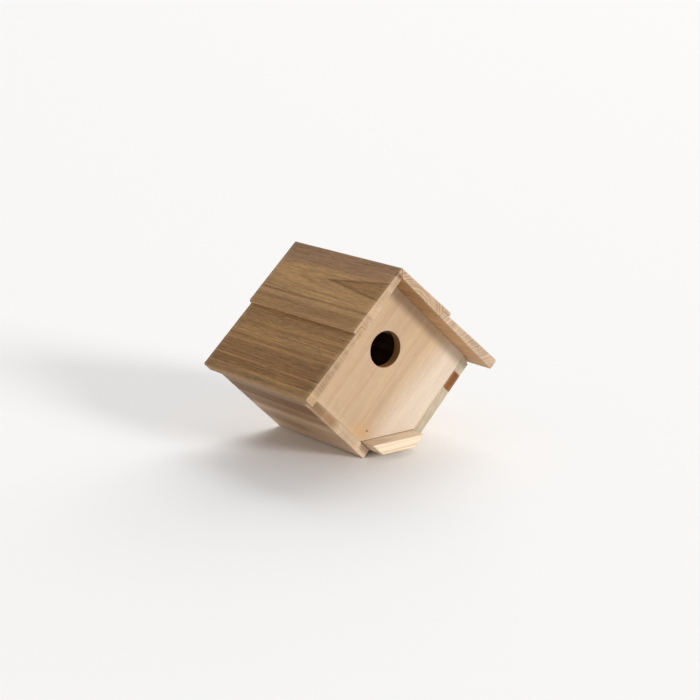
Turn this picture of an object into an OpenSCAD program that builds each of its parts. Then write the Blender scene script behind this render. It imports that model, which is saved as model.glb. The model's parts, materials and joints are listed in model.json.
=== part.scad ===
// Diamond nest box. A square-section body stands on one corner, so the two
// roof slopes meet at a right angle and the two walls hang below them as a V.
// The ridge runs along Y, the entrance faces -Y and +Z is up. The origin lies
// under the middle of the roof, at the level of the wall tips that it rests on.

/* [Roof] */
// Length of one roof slope, from the ridge to the eave
roof_slope = 126; // [125:1:134]
// Depth of the roof, front to back
roof_depth = 144; // [130:1:170]
// Thickness of a roof board at the top of its weather face
board_thin = 5.8; // [5:0.1:7]
// Thickness of a roof board at its butt
board_butt = 8.8; // [8:0.1:10]
// Length of the lap of the upper board over the lower one
board_lap = 8; // [5:1:12]

/* [Body] */
// Length of a panel's top edge, from the underside of one slope to a wall
panel_edge = 108.8; // [105:0.2:112]
// Thickness of the walls and of the front and back panels
wall_t = 8.2; // [6:0.2:9]
// Length of a wall's outer face down its slope
wall_len = 81.2; // [76:0.2:84]
// Drop of a wall's upper end from its inner edge to its outer edge
wall_bevel = 2.6; // [0.5:0.1:4]
// Set-back of the front panel behind the front edge of the roof
front_eave = 23.5; // [19:0.5:30]
// Set-back of the back panel behind the back edge of the roof
back_eave = 3; // [0:0.5:10]

/* [Holes] */
// Diameter of the entrance hole
entrance_d = 28.6; // [25:0.1:32]
// Depth of the entrance hole's centre below the ridge
entrance_drop = 67.4; // [62:0.5:70]
// Diameter of the screw hole in the back panel
screw_hole_d = 5; // [4:0.5:8]

/* [Floor] */
// Depth of the floor's top face below the ridge
floor_drop = 136.6; // [134:0.2:138]
// Thickness of the floor
floor_t = 9.2; // [7:0.2:11]
// Length of the floor's lip in front of the front panel
floor_lip = 15.2; // [10:0.1:18]
// Clearance of the sliding floor on each side
floor_gap = 0.4; // [0.3:0.1:0.8]

/* [Brads] */
// Length of a brad
brad_len = 22; // [18:1:24]
// Diameter of a brad's shank
brad_d = 1.2; // [1:0.1:1.6]
// Diameter of a brad's head
brad_head_d = 1.9; // [1.8:0.1:2.6]
// Depth of a brad's head below the face of the wood
brad_set = 0.3; // [0.1:0.1:0.6]

/* [Hidden] */

// Inside the slope frame, u runs down the left slope from the ridge and
// v runs square to it, down the right slope. Both are zero at the ridge.
board_cover = roof_slope / 2;                  // weather face of one board
board_taper = (board_butt - board_thin) / board_cover;
wall_inner = board_thin + panel_edge;          // u of a wall's inner face
wall_outer = wall_inner + wall_t;              // u of a wall's outer face
wall_head = board_thin + 0.3;                  // v of its upper end, inside
wall_top = wall_head + wall_bevel;             // v of its upper end, outside
wall_tip = wall_top + wall_len;                // v of its lower end

// Depths along Y
roof_front = -roof_depth / 2;
roof_back = roof_depth / 2;
front_face = roof_front + front_eave;
back_face = roof_back - back_eave;
front_mid = front_face + wall_t / 2;
back_mid = back_face - wall_t / 2;
floor_end_gap = 0.5;

// Heights: a point at u, v lies (u + v) / sqrt(2) below the ridge
ridge_z = (wall_outer + wall_tip) / sqrt(2);
front_panel_drop = floor_drop - floor_gap;
back_panel_drop = (wall_inner + wall_tip) / sqrt(2);

// Brads: places down a slope, and fit in the wood
upper_brads = [26, 50];
lower_brads = [76, 100];
wall_brads = [28, 50, 70];
brad_head_t = 0.8;
brad_fit = 0.05;
past = 1;                                      // overshoot of a cut

roof_colour = "#8a6a48";
body_colour = "#d4b490";
wall_colour = "#a98560";
floor_colour = "#d6b188";
brad_colour = "#8d8a84";

$fn = 48;

function slope_face(u) = -board_taper * (u > board_cover ? u - board_cover : u);
function drop_line(drop, u) = drop * sqrt(2) - u;

// Places children in the frame of the left slope: X is u, Z is v
module slope_frame() {
    translate([0, 0, ridge_z]) rotate([0, 135, 0]) children();
}

// Runs a u, v outline along Y from y_front to y_back
module along_ridge(y_front, y_back) {
    translate([0, y_back, 0]) rotate([90, 0, 0])
        linear_extrude(y_back - y_front) children();
}

// Draws children as they are for the left side, mirrored for the right
module on_side(side) {
    mirror([side == "right" ? 1 : 0, 0, 0]) slope_frame() children();
}

// One brad, its head at the origin and its point along +Z
module brad(fit = 0) {
    cylinder(h = brad_head_t + fit, d = brad_head_d + 2 * fit);
    cylinder(h = brad_len + fit, d = brad_d + 2 * fit);
}

// The hole that a driven brad leaves, open to the face of the wood
module brad_hole() {
    brad(brad_fit);
    translate([0, 0, -brad_set - past])
        cylinder(h = brad_set + past + brad_head_t, d = brad_head_d + 2 * brad_fit);
}

// Puts children at each brad of a slope that is listed in places
module at_roof_brads(places) {
    for (u = places, y = [front_mid, back_mid])
        translate([u, y, slope_face(u) + brad_set]) children();
}

// Puts children at each brad of a wall
module at_wall_brads() {
    for (v = wall_brads, y = [front_mid, back_mid])
        translate([wall_outer - brad_set, y, v]) rotate([0, -90, 0]) children();
}

module upper_roof_board(side) {
    lap_start = board_cover - board_lap;
    on_side(side) difference() {
        along_ridge(roof_front, roof_back) polygon([
            [0, 0],
            [board_cover, board_thin - board_butt],
            [board_cover, 0],
            [lap_start, board_taper * board_lap],
            [lap_start, board_thin],
            [board_thin, board_thin]
        ]);
        at_roof_brads(upper_brads) brad_hole();
    }
}

module lower_roof_board(side) {
    lap_start = board_cover - board_lap;
    on_side(side) difference() {
        along_ridge(roof_front, roof_back) polygon([
            [lap_start, board_taper * board_lap],
            [roof_slope, board_thin - board_butt],
            [roof_slope, board_thin],
            [lap_start, board_thin]
        ]);
        at_roof_brads(lower_brads) brad_hole();
    }
}

module wall(side) {
    on_side(side) difference() {
        along_ridge(front_face, back_face) polygon([
            [wall_inner, wall_head],
            [wall_outer, wall_top],
            [wall_outer, wall_tip],
            [wall_inner, wall_tip]
        ]);
        at_wall_brads() brad_hole();
    }
}

// A panel fills the square between the roof and the walls, down to a depth
module panel(y_front, drop) {
    difference() {
        slope_frame() along_ridge(y_front, y_front + wall_t) polygon([
            [board_thin, board_thin],
            [wall_inner, board_thin],
            [wall_inner, drop_line(drop, wall_inner)],
            [drop_line(drop, wall_inner), wall_inner],
            [board_thin, wall_inner]
        ]);
        for (side = ["left", "right"]) on_side(side) {
            at_roof_brads(concat(upper_brads, lower_brads)) brad_hole();
            at_wall_brads() brad_hole();
        }
    }
}

// A round hole along Y through a panel, on the centre line
module panel_bore(y_front, d) {
    translate([0, y_front + wall_t + past, ridge_z - entrance_drop])
        rotate([90, 0, 0]) cylinder(h = wall_t + 2 * past, d = d);
}

module front_panel() {
    color(body_colour) difference() {
        panel(front_face, front_panel_drop);
        panel_bore(front_face, entrance_d);
    }
}

module back_panel() {
    color(body_colour) difference() {
        panel(back_face - wall_t, back_panel_drop);
        panel_bore(back_face - wall_t, screw_hole_d);
    }
}

// The floor's sides are bevelled to slide on the inner faces of the walls
module slide_out_floor() {
    side_u = wall_inner - floor_gap;
    floor_front = front_face - floor_lip;
    floor_back = back_face - wall_t - floor_end_gap;
    color(floor_colour) slope_frame() along_ridge(floor_front, floor_back) polygon([
        [side_u, drop_line(floor_drop, side_u)],
        [side_u, drop_line(floor_drop + floor_t, side_u)],
        [drop_line(floor_drop + floor_t, side_u), side_u],
        [drop_line(floor_drop, side_u), side_u]
    ]);
}

module roof_brads(side) {
    color(brad_colour) on_side(side)
        at_roof_brads(concat(upper_brads, lower_brads)) brad();
}

module wall_brads(side) {
    color(brad_colour) on_side(side) at_wall_brads() brad();
}

color(roof_colour) upper_roof_board("left");  // upper_left_roof_board
color(roof_colour) lower_roof_board("left");  // lower_left_roof_board
color(roof_colour) upper_roof_board("right");  // upper_right_roof_board
color(roof_colour) lower_roof_board("right");  // lower_right_roof_board
color(wall_colour) wall("left");  // left_wall
color(wall_colour) wall("right");  // right_wall
front_panel();
back_panel();
slide_out_floor();
roof_brads("left");  // left_roof_brads
roof_brads("right");  // right_roof_brads
wall_brads("left");  // left_wall_brads
wall_brads("right");  // right_wall_brads
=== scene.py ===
import json
import logging
import math
from dataclasses import dataclass, field
from enum import Enum
from typing import Any

import bmesh
import bpy
import numpy as np
from mathutils import Matrix, Vector


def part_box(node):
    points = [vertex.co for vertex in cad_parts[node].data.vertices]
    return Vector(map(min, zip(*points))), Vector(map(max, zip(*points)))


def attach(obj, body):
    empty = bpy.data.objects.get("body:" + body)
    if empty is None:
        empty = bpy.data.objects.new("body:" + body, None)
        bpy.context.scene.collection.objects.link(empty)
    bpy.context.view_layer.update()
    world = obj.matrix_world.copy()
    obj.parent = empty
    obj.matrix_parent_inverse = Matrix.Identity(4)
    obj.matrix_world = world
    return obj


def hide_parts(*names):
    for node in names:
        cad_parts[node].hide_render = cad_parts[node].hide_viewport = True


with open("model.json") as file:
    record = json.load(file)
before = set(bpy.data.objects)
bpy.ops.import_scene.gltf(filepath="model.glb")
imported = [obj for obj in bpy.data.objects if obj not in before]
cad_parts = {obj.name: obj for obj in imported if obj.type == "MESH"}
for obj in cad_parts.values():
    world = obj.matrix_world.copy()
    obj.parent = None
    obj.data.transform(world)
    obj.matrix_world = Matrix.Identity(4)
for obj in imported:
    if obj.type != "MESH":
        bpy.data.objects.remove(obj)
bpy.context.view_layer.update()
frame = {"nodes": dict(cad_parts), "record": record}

LOG = logging.getLogger("nest_box")
MM = 0.001
HOUSE = "house"
FLOOR_BOARD = "floor_board"
TOUCHING = 1e-6     # metres: points nearer than this are the same point

SIDE_SHADE_BROWN = "#c49b4b"       # painted shade: multiplies the colour of the sawn sides and the drilled holes
RUBBED_EDGE = "#d9c4a4"

# Settings that many nodes share
TIMES = {"operation": "MULTIPLY"}
TIMES_PLUS = {"operation": "MULTIPLY_ADD"}
MINUS = {"operation": "SUBTRACT"}
SIZE_OF = {"operation": "ABSOLUTE"}
DOT = {"operation": "DOT_PRODUCT"}
COLOURS = {"data_type": "RGBA"}
SMOOTH = {"interpolation_type": "SMOOTHSTEP"}


# ---------------------------------------------------------------- helpers


def linear(colour: str) -> tuple[float, float, float, float]:
    """Turns an sRGB hex colour into the linear colour that shaders work in.

    Args:
        colour: A colour such as "#c8b398".

    Returns:
        Red, green, blue and alpha, each from 0 to 1.
    """
    channels = [int(colour[i:i + 2], 16) / 255 for i in (1, 3, 5)]
    lin = [c / 12.92 if c <= 0.04045 else ((c + 0.055) / 1.055) ** 2.4 for c in channels]
    return (*lin, 1.0)


def add(tree: bpy.types.NodeTree, kind: str, settings: dict[str, Any] | None = None,
        sockets: dict[Any, Any] | None = None) -> bpy.types.Node:
    """Adds one node with its settings, socket values and links.

    Args:
        tree: The node tree to add to.
        kind: The node's type name.
        settings: Properties of the node itself.
        sockets: Inputs by name or number, each a value or the socket it is linked from.

    Returns:
        The new node.
    """
    node = tree.nodes.new(kind)
    for name, value in (settings or {}).items():
        setattr(node, name, value)
    for key, value in (sockets or {}).items():
        if isinstance(value, bpy.types.NodeSocket):
            tree.links.new(value, node.inputs[key])
        else:
            node.inputs[key].default_value = value
    return node


def empty_material(name: str) -> bpy.types.Material:
    """Makes a material whose node tree is still empty.

    Args:
        name: The material's name.

    Returns:
        The material, with its nodes switched on.
    """
    made = bpy.data.materials.new(name)
    made.use_nodes = True
    made.node_tree.nodes.clear()
    return made


def keep_mesh(name: str, mesh: bpy.types.Mesh) -> bpy.types.Object:
    """Links a mesh to the scene as an object that sits at the origin.

    Args:
        name: The piece's name.
        mesh: Its mesh, in metres, in the place that it has on the house.

    Returns:
        The new object.
    """
    mesh.name = name
    piece = bpy.data.objects.new(name, mesh)
    bpy.context.scene.collection.objects.link(piece)
    return piece


def baked(piece: bpy.types.Object) -> bpy.types.Mesh:
    """Returns a plain mesh of a piece with its modifiers worked in.

    Args:
        piece: The object with the live modifiers.

    Returns:
        A new mesh that needs no modifier.
    """
    bpy.context.view_layer.update()
    graph = bpy.context.evaluated_depsgraph_get()
    return bpy.data.meshes.new_from_object(piece.evaluated_get(graph), preserve_all_data_layers=True,
                                           depsgraph=graph)


# ---------------------------------------------------------------- directions


class Side(Enum):
    """The two sides of the house, seen from the front."""

    LEFT = -1
    RIGHT = 1

    def down_slope(self) -> Vector:
        """Returns the direction from the ridge down this side's roof slope."""
        return Vector((self.value, 0, -1)).normalized()

    def inward(self) -> Vector:
        """Returns the direction square to this side's roof slope, into the house."""
        return Vector((-self.value, 0, -1)).normalized()


BACK = Vector((0, 1, 0))
RIGHTWARD = Vector((1, 0, 0))
RIDGE = Vector((0, 0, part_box("upper_left_roof_board")[1].z))


@dataclass(frozen=True)
class BoardAxes:
    """The directions of the wood in one board.

    Attributes:
        grain: Direction of the fibres.
        across: Direction over the face, square to the grain.
        origin: Point that distances over the board are counted from, in metres.
    """

    grain: Vector
    across: Vector
    origin: Vector

    def rotation(self, lean: float = 0.0) -> Matrix:
        """Returns the rotation from the house's frame into the board's.

        Args:
            lean: Angle of the tree's pith out of the face, in degrees.

        Returns:
            A 3x3 matrix whose rows are grain, across and through.
        """
        through = self.grain.cross(self.across)
        rows = Matrix((self.grain, self.across, through))
        return Matrix.Rotation(math.radians(lean), 3, "Y") @ rows


# ---------------------------------------------------------------- finishes


class Field(Enum):
    """What a zone of colour in the wood is measured along."""

    ACROSS = "distance over the board's face"
    ARROW = "distance outside the arrow that a plain-sawn board shows"


@dataclass(frozen=True)
class Zone:
    """A band of another colour, such as sapwood, a heartwood streak, and also a band of painted shade and
    painted light.

    Attributes:
        low: Where it starts, in millimetres.
        high: Where it ends, in millimetres.
        colour: Its sRGB hex colour.
        strength: How far it covers the wood's own colour, from 0 to 1.
        soft_low: Width of its first edge, in millimetres.
        soft_high: Width of its second edge, in millimetres.
        slant: How far its edges shift for each millimetre along the grain.
        on_face: Share of its strength on the faces.
        on_end: Share of its strength on end grain.
        along: What it is measured along.
    """

    low: float
    high: float
    colour: str
    strength: float = 0.8
    soft_low: float = 1.5
    soft_high: float = 1.5
    slant: float = 0.0
    on_face: float = 1.0
    on_end: float = 0.4
    along: Field = Field.ACROSS


@dataclass(frozen=True)
class Arrow:
    """The pointed figure where the growth rings run out of a plain-sawn face.

    Attributes:
        tip: Place of its point along the grain, in millimetres. It widens towards less.
        centre: Place of its point across, in millimetres.
        widening: How far each side spreads for each millimetre from the point.
        drift: How far its middle shifts for each millimetre along the grain.
    """

    tip: float = 0.0
    centre: float = 0.0
    widening: float = 0.1
    drift: float = 0.0


@dataclass(frozen=True)
class Spot:
    """A round spot of another colour: a small knot, the resin stain around one, and also a wide painted
    pool of light.

    Attributes:
        at: Its place along the grain and across, from the board's origin, in millimetres.
        radius: Its radius in millimetres.
        colour: Its sRGB hex colour.
        strength: How far it covers the wood's own colour, from 0 to 1.
        core: Share of its radius inside which it is at its strongest.
    """

    at: tuple[float, float]
    radius: float
    colour: str = "#5a3620"
    strength: float = 0.85
    core: float = 0.5


@dataclass(frozen=True)
class CedarFinish:
    """Planed, unfinished cedar: solid wood grown in rings around a pith.

    The eye gets a soft, nearly matt face with fine straight fibres, darker narrow
    latewood lines, and a rougher, duller end grain.

    Attributes:
        early: Colour of the pale wood of a ring.
        late: Colour of the dark line that ends a ring.
        end_tint: Colour that end grain is mixed towards.
        ring: Width of a year's ring in millimetres.
        pith: Place of the pith across and through, from the board's origin, in millimetres.
        waver: How far the rings wander, in millimetres.
        ring_contrast: Strength of the latewood lines, from 0 to 1.
        end_contrast: The same on end grain.
        fibre_contrast: Strength of the fine fibres in the wood's value.
        tone_contrast: Strength of the broad light and dark streaks.
        seed: Number that shifts every pattern.
        lean: Angle of the pith out of the face, in degrees.
        painted_side_shade: How much browner and darker the sides and the holes are than the faces, as
            painted shade.
        arrow: The pointed figure on the face, which some zones follow.
        zones: Bands of other colours.
        spots: Small knots, and also wide painted pools of light.
    """

    early: str
    late: str
    end_tint: str
    ring: float
    pith: tuple[float, float]
    waver: float
    ring_contrast: float
    end_contrast: float
    fibre_contrast: float
    tone_contrast: float
    seed: float
    lean: float = 0.0
    painted_side_shade: float = 0.0
    arrow: Arrow = Arrow()
    zones: tuple[Zone, ...] = ()
    spots: tuple[Spot, ...] = ()

    def material(self, name: str, axes: BoardAxes) -> bpy.types.Material:
        """Builds the node tree of this wood for one board.

        Args:
            name: The material's name.
            axes: The board's directions.

        Returns:
            The finished material.
        """
        made = empty_material(name)
        tree = made.node_tree
        place = add(tree, "ShaderNodeTexCoord").outputs["Object"]
        board = self._mapped(tree, place, axes.rotation(), axes, (0.0, 0.0))
        trunk = self._mapped(tree, place, axes.rotation(self.lean), axes, self.pith)
        sway = self._sway(tree, board)
        grown = add(tree, "ShaderNodeVectorMath", {"operation": "ADD"}, {0: board, 1: sway}).outputs[0]
        split = add(tree, "ShaderNodeSeparateXYZ", {}, {0: grown})
        end = self._end_grain(tree, axes)
        ring = self._rings(tree, trunk, sway, end)
        fibre, tone = self._fibres(tree, grown)
        colour = self._ground(tree, ring, end)
        for zone in self.zones:
            if zone.along is Field.ARROW:
                line = self._outside_arrow(tree, split)
            else:
                line = add(tree, "ShaderNodeMath", TIMES_PLUS,
                           {0: split.outputs["X"], 1: zone.slant, 2: split.outputs["Y"]}).outputs[0]
            colour = self._zone(tree, zone, line, end, colour)
        colour = self._shaded(tree, colour, fibre, tone, end)
        for spot in self.spots:
            colour = self._spot(tree, spot, board, colour)
        colour = self._shade_sides(tree, axes, colour)
        colour = self._rubbed(tree, colour, fibre)
        self._surface(tree, colour, ring, fibre, end)
        return made

    def _mapped(self, tree: bpy.types.NodeTree, place: bpy.types.NodeSocket, turn: Matrix,
                axes: BoardAxes, offset: tuple[float, float]) -> bpy.types.NodeSocket:
        """Gives places in millimetres along the grain, across and through.

        Args:
            tree: The material's tree.
            place: The object coordinates.
            turn: Rotation into the wanted frame.
            axes: The board's directions.
            offset: The new origin across and through, in millimetres.

        Returns:
            The socket of the mapped coordinates.
        """
        through = axes.grain.cross(axes.across)
        start = axes.origin / MM + axes.across * offset[0] + through * offset[1]
        node = add(tree, "ShaderNodeMapping", {}, {
            "Vector": place,
            "Location": -(turn @ start),
            "Rotation": turn.to_euler("XYZ"),
            "Scale": (1 / MM, 1 / MM, 1 / MM),
        })
        return node.outputs[0]

    def _sway(self, tree: bpy.types.NodeTree, board: bpy.types.NodeSocket) -> bpy.types.NodeSocket:
        """Bends the grain gently from side to side.

        Args:
            tree: The material's tree.
            board: Millimetres in the board's frame.

        Returns:
            The shift of the grain at each point, in millimetres.
        """
        bend_scale = 0.032          # one bend in about 31 mm over the board, and 90 mm along it
        squeeze = 0.35
        reach = 4 * self.waver      # the noise strays by about a quarter from its mean
        stretched = add(tree, "ShaderNodeVectorMath", TIMES, {0: board, 1: (squeeze, 1.0, 1.0)}).outputs[0]
        bends = add(tree, "ShaderNodeTexNoise", {"noise_dimensions": "4D"},
                    {"Vector": stretched, "W": self.seed, "Scale": bend_scale, "Detail": 3.0})
        centred = add(tree, "ShaderNodeVectorMath", MINUS,
                      {0: bends.outputs["Color"], 1: (0.5, 0.5, 0.5)}).outputs[0]
        return add(tree, "ShaderNodeVectorMath", TIMES, {0: centred, 1: (0.0, reach, reach)}).outputs[0]

    def _rings(self, tree: bpy.types.NodeTree, trunk: bpy.types.NodeSocket, sway: bpy.types.NodeSocket,
               end: bpy.types.NodeSocket) -> bpy.types.NodeSocket:
        """Draws growth rings around the pith.

        Args:
            tree: The material's tree.
            trunk: Millimetres from the pith.
            sway: The shift of the grain.
            end: 1 on end grain.

        Returns:
            How much each point is latewood.
        """
        good_years = 0.35 / self.ring   # wide and narrow rings follow each other in runs of about three
        unevenness = 1.4
        faintest = 0.35                 # share of the full strength in the faintest ring
        seam = (0.45, 0.45, 0.45, 1.0)  # value where the dark line turns into the next year's wood
        bent = add(tree, "ShaderNodeVectorMath", {"operation": "ADD"}, {0: trunk, 1: sway}).outputs[0]
        flat = add(tree, "ShaderNodeVectorMath", TIMES,
                   {0: bent, 1: (0.0, 1.0, 1.0)}).outputs[0]
        radius = add(tree, "ShaderNodeVectorMath", {"operation": "LENGTH"}, {0: flat}).outputs["Value"]
        years = add(tree, "ShaderNodeTexNoise", {"noise_dimensions": "1D"},
                    {"W": radius, "Scale": good_years, "Detail": 1.0}).outputs[0]
        count = add(tree, "ShaderNodeMath", TIMES_PLUS,
                    {0: radius, 1: 1 / self.ring, 2: years}).outputs[0]
        spread = add(tree, "ShaderNodeMath", TIMES_PLUS,
                     {0: years, 1: unevenness, 2: count}).outputs[0]
        part = add(tree, "ShaderNodeMath", {"operation": "FRACT"}, {0: spread}).outputs[0]
        profile = add(tree, "ShaderNodeValToRGB", {}, {0: part})
        ramp = profile.color_ramp
        ramp.interpolation = "EASE"
        ramp.elements[0].position = 0.0
        ramp.elements[1].position = 1.0
        for stop, value in ((0.06, 0.0), (0.5, 0.14), (0.84, 0.85), (0.96, 1.0)):
            ramp.elements.new(stop).color = (value, value, value, 1.0)
        ramp.elements[0].color = seam
        ramp.elements[-1].color = seam
        year = add(tree, "ShaderNodeMath", {"operation": "FLOOR"}, {0: spread}).outputs[0]
        luck = add(tree, "ShaderNodeTexWhiteNoise", {"noise_dimensions": "1D"},
                   {"W": year}).outputs["Value"]
        weight = add(tree, "ShaderNodeMapRange", {}, {0: luck, 3: faintest, 4: 1.0}).outputs[0]
        level = add(tree, "ShaderNodeMapRange", {},
                    {0: end, 3: self.ring_contrast, 4: self.end_contrast}).outputs[0]
        strength = add(tree, "ShaderNodeMath", TIMES, {0: weight, 1: level}).outputs[0]
        return add(tree, "ShaderNodeMath", TIMES,
                   {0: profile.outputs[0], 1: strength}).outputs[0]

    def _fibres(self, tree: bpy.types.NodeTree,
                grown: bpy.types.NodeSocket) -> tuple[bpy.types.NodeSocket, bpy.types.NodeSocket]:
        """Draws the fine fibres, their short flecks and the broad streaks.

        Args:
            tree: The material's tree.
            grown: Millimetres in the board's frame, bent with the grain.

        Returns:
            The fine pattern and the broad one, each about 0.5 in the mean.
        """
        # For each layer: patterns to a millimetre across the grain, the squeeze that makes them
        # longer along it, and detail. Real fibres are 0.03 mm thick: they are drawn in bundles
        # about 1 mm wide so that they show, with pores of 0.25 mm for a closer look.
        layers = ((0.9, 0.025, 4.0), (1.3, 0.11, 2.0), (4.0, 0.03, 2.0), (0.1, 0.05, 4.0))
        fleck_share, pore_share = 0.45, 0.4
        patterns = []
        for number, (scale, squeeze, detail) in enumerate(layers):
            drawn = add(tree, "ShaderNodeVectorMath", TIMES,
                        {0: grown, 1: (squeeze, 1.0, 1.0)}).outputs[0]
            patterns.append(add(tree, "ShaderNodeTexNoise", {"noise_dimensions": "4D"}, {
                "Vector": drawn, "W": self.seed + 3 * (number + 1), "Scale": scale, "Detail": detail,
                "Roughness": 0.6}).outputs[0])
        fibre, fleck, pore, tone = patterns
        bundles = add(tree, "ShaderNodeMix", {}, {0: fleck_share, 2: fibre, 3: fleck}).outputs[0]
        pores = add(tree, "ShaderNodeMath", MINUS, {0: pore, 1: 0.5}).outputs[0]
        fine = add(tree, "ShaderNodeMath", TIMES_PLUS, {0: pores, 1: pore_share, 2: bundles}).outputs[0]
        return fine, tone

    def _outside_arrow(self, tree: bpy.types.NodeTree, split: bpy.types.Node) -> bpy.types.NodeSocket:
        """Measures how far each point lies outside the arrow on the face.

        Args:
            tree: The material's tree.
            split: The node that gives millimetres along the grain and across.

        Returns:
            The distance in millimetres, below 0 inside the arrow.
        """
        behind = add(tree, "ShaderNodeMath", MINUS,
                     {0: split.outputs["X"], 1: self.arrow.tip}).outputs[0]
        middle = add(tree, "ShaderNodeMath", TIMES_PLUS,
                     {0: behind, 1: self.arrow.drift, 2: self.arrow.centre}).outputs[0]
        aside = add(tree, "ShaderNodeMath", MINUS,
                    {0: split.outputs["Y"], 1: middle}).outputs[0]
        size = add(tree, "ShaderNodeMath", SIZE_OF, {0: aside}).outputs[0]
        return add(tree, "ShaderNodeMath", TIMES_PLUS,
                   {0: behind, 1: self.arrow.widening, 2: size}).outputs[0]

    def _zone(self, tree: bpy.types.NodeTree, zone: Zone, line: bpy.types.NodeSocket,
              end: bpy.types.NodeSocket, colour: bpy.types.NodeSocket) -> bpy.types.NodeSocket:
        """Lays one band of another colour over the wood.

        Args:
            tree: The material's tree.
            zone: The band.
            line: The distance that it is measured along.
            end: 1 on end grain.
            colour: The colour so far.

        Returns:
            The colour with the band.
        """
        rise = add(tree, "ShaderNodeMapRange", SMOOTH,
                   {0: line, 1: zone.low - zone.soft_low / 2, 2: zone.low + zone.soft_low / 2}).outputs[0]
        fall = add(tree, "ShaderNodeMapRange", SMOOTH,
                   {0: line, 1: zone.high - zone.soft_high / 2, 2: zone.high + zone.soft_high / 2,
                    3: zone.strength, 4: 0.0}).outputs[0]
        band = add(tree, "ShaderNodeMath", TIMES, {0: rise, 1: fall}).outputs[0]
        share = add(tree, "ShaderNodeMapRange", {}, {0: end, 3: zone.on_face, 4: zone.on_end}).outputs[0]
        mask = add(tree, "ShaderNodeMath", TIMES, {0: band, 1: share}).outputs[0]
        return add(tree, "ShaderNodeMix", COLOURS,
                   {0: mask, 6: colour, 7: linear(zone.colour)}).outputs[2]

    def _shaded(self, tree: bpy.types.NodeTree, colour: bpy.types.NodeSocket, fibre: bpy.types.NodeSocket,
                tone: bpy.types.NodeSocket, end: bpy.types.NodeSocket) -> bpy.types.NodeSocket:
        """Lightens and darkens the wood with its fibres and streaks.

        Args:
            tree: The material's tree.
            colour: The colour so far.
            fibre: The fine pattern.
            tone: The broad pattern.
            end: 1 on end grain, where the fibres are only seen as pores and so show less.

        Returns:
            The varied colour.
        """
        end_share = 0.4
        redder, yellower = 0.494, 0.506     # 0.5 leaves the hue as it is
        centred = add(tree, "ShaderNodeMath", MINUS, {0: fibre, 1: 0.5}).outputs[0]
        contrast = add(tree, "ShaderNodeMapRange", {},
                       {0: end, 3: self.fibre_contrast, 4: end_share * self.fibre_contrast}).outputs[0]
        fine = add(tree, "ShaderNodeMath", TIMES_PLUS,
                   {0: centred, 1: contrast, 2: 1.0 - 0.5 * self.tone_contrast}).outputs[0]
        value = add(tree, "ShaderNodeMath", TIMES_PLUS,
                    {0: tone, 1: self.tone_contrast, 2: fine}).outputs[0]
        hue = add(tree, "ShaderNodeMapRange", {}, {0: tone, 3: redder, 4: yellower}).outputs[0]
        return add(tree, "ShaderNodeHueSaturation", {},
                   {"Hue": hue, "Value": value, "Color": colour}).outputs[0]

    def _spot(self, tree: bpy.types.NodeTree, spot: Spot, board: bpy.types.NodeSocket,
              colour: bpy.types.NodeSocket) -> bpy.types.NodeSocket:
        """Lays one spot over the wood: a small knot, and also a painted pool of light.

        Args:
            tree: The material's tree.
            spot: The spot.
            board: Millimetres in the board's frame.
            colour: The colour so far.

        Returns:
            The colour with the knot.
        """
        fade_end = 1.5 * spot.radius
        flat = add(tree, "ShaderNodeVectorMath", TIMES, {0: board, 1: (1.0, 1.0, 0.0)}).outputs[0]
        away = add(tree, "ShaderNodeVectorMath", {"operation": "DISTANCE"},
                   {0: flat, 1: (*spot.at, 0.0)}).outputs["Value"]
        mask = add(tree, "ShaderNodeMapRange", SMOOTH,
                   {0: away, 1: spot.core * spot.radius, 2: fade_end, 3: spot.strength,
                    4: 0.0}).outputs[0]
        return add(tree, "ShaderNodeMix", COLOURS,
                   {0: mask, 6: colour, 7: linear(spot.colour)}).outputs[2]

    def _end_grain(self, tree: bpy.types.NodeTree, axes: BoardAxes) -> bpy.types.NodeSocket:
        """Finds the faces that are cut across the fibres.

        Args:
            tree: The material's tree.
            axes: The board's directions.

        Returns:
            1 on end grain and 0 on the faces along the fibres.
        """
        none_below, full_above = 0.55, 0.9      # cosine of the angle from the fibres to the face's normal
        normal = add(tree, "ShaderNodeTexCoord").outputs["Normal"]
        facing = add(tree, "ShaderNodeVectorMath", DOT, {0: normal, 1: axes.grain}).outputs["Value"]
        size = add(tree, "ShaderNodeMath", SIZE_OF, {0: facing}).outputs[0]
        return add(tree, "ShaderNodeMapRange", SMOOTH,
                   {0: size, 1: none_below, 2: full_above}).outputs[0]

    def _ground(self, tree: bpy.types.NodeTree, ring: bpy.types.NodeSocket,
                end: bpy.types.NodeSocket) -> bpy.types.NodeSocket:
        """Lays the wood's ground colour: its rings, and the tint of its end grain.

        Args:
            tree: The material's tree.
            ring: How much each point is latewood.
            end: 1 on end grain.

        Returns:
            The ground colour.
        """
        end_share = 0.8
        amount = add(tree, "ShaderNodeMath", TIMES, {0: end, 1: end_share}).outputs[0]
        early = add(tree, "ShaderNodeMix", COLOURS,
                    {0: amount, 6: linear(self.early), 7: linear(self.end_tint)}).outputs[2]
        return add(tree, "ShaderNodeMix", COLOURS,
                   {0: ring, 6: early, 7: linear(self.late)}).outputs[2]

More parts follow.
